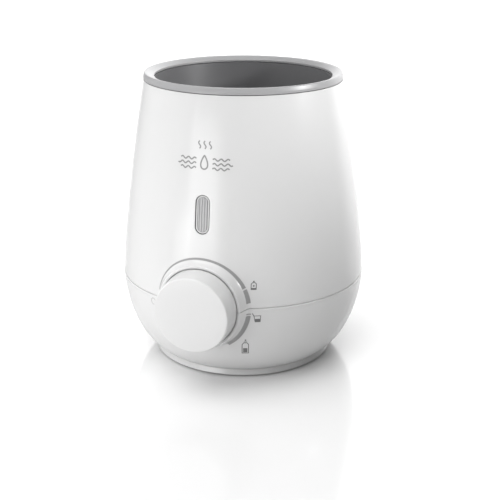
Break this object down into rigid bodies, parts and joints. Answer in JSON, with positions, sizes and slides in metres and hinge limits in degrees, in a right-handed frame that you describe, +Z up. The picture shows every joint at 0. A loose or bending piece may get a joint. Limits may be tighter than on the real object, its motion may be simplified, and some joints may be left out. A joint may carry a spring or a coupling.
{
  "type": "bottle warmer",
  "caption": "Round tapered electric warmer with an open water well for a feeding bottle, a rotary dial and an upright lamp window on the front.",
  "frame": {"origin": "centre of the object's bounding box, on the surface that the rubber feet stand on", "axes": "+Z up along the well's axis, -Y out of the front where the dial is, +X to the right seen from the front"},
  "size_m": [0.141, 0.1556, 0.165],
  "materials": {
    "housing_white": "glossy white moulded plastic",
    "rim_grey": "matte silver-grey moulded plastic; the printed scale and pictograms take the same grey",
    "well_coating": "dark grey satin coating on formed aluminium",
    "lens_grey": "translucent grey plastic with upright ribs",
    "seal_rubber": "black silicone",
    "foot_rubber": "dark grey rubber",
    "screw_steel": "zinc-plated steel",
    "inner_plastic": "unpainted inner moulding",
    "bare_aluminium": "bare aluminium",
    "heater_ceramic": "matte ceramic",
    "spring_steel": "pressed steel",
    "nut_brass": "plain brass",
    "board_green": "circuit board with green solder mask",
    "black_plastic": "black moulded plastic",
    "capacitor_yellow": "yellow potting case",
    "gland_grey": "pale grey elastomer",
    "lead_insulation": "flexible insulation",
    "led_resin": "clear LED resin"
  },
  "bodies": {
    "housing": {"base_cover": "housing_white", "base_screw_1": "screw_steel", "base_screw_2": "screw_steel", "base_screw_3": "screw_steel", "board_screw_1": "screw_steel", "board_screw_2": "screw_steel", "board_screw_3": "screw_steel", "board_screw_4": "screw_steel", "bracket_screw_1": "screw_steel", "bracket_screw_2": "screw_steel", "chamber_seal": "seal_rubber", "clamp_screw_1": "screw_steel", "clamp_screw_2": "screw_steel", "control_board": "board_green", "cord_gland": "gland_grey", "dial_bracket": "inner_plastic", "dial_lead": "lead_insulation", "filter_capacitor": "black_plastic", "fuse_lead": "lead_insulation", "heater_clamp": "spring_steel", "heater_lead_1": "lead_insulation", "heater_lead_2": "lead_insulation", "heater_plate": "bare_aluminium", "heating_chamber": "well_coating", "housing_screw_1": "screw_steel", "housing_screw_2": "screw_steel", "housing_screw_3": "screw_steel", "housing_screw_4": "screw_steel", "indicator_led": "led_resin", "indicator_lens": "lens_grey", "lamp_bezel": "housing_white", "lamp_holder": "inner_plastic", "lamp_lead": "lead_insulation", "led_board": "board_green", "lower_housing": "housing_white", "pot_housing": "spring_steel", "pot_nut": "nut_brass", "pot_wafer": "board_green", "pot_washer": "spring_steel", "ptc_element": "heater_ceramic", "relay": "black_plastic", "rim_ring": "rim_grey", "rubber_foot_1": "foot_rubber", "rubber_foot_2": "foot_rubber", "rubber_foot_3": "foot_rubber", "rubber_foot_4": "foot_rubber", "sensor_lead": "lead_insulation", "temperature_sensor": "spring_steel", "terminal_block": "inner_plastic", "thermal_fuse": "inner_plastic", "upper_housing": "housing_white", "x2_capacitor": "capacitor_yellow"},
    "dial": {"dial_knob": "housing_white", "knob_clip": "spring_steel", "control_shaft": "bare_aluminium", "pot_rotor": "black_plastic"}
  },
  "joints": [
    {"name": "dial_turn", "type": "hinge", "parent": "housing", "child": "dial", "pos_m": [0, 0.00735, 0.04915], "axis": [0, 1, 0], "range_deg": [0, 240]}
  ]
}
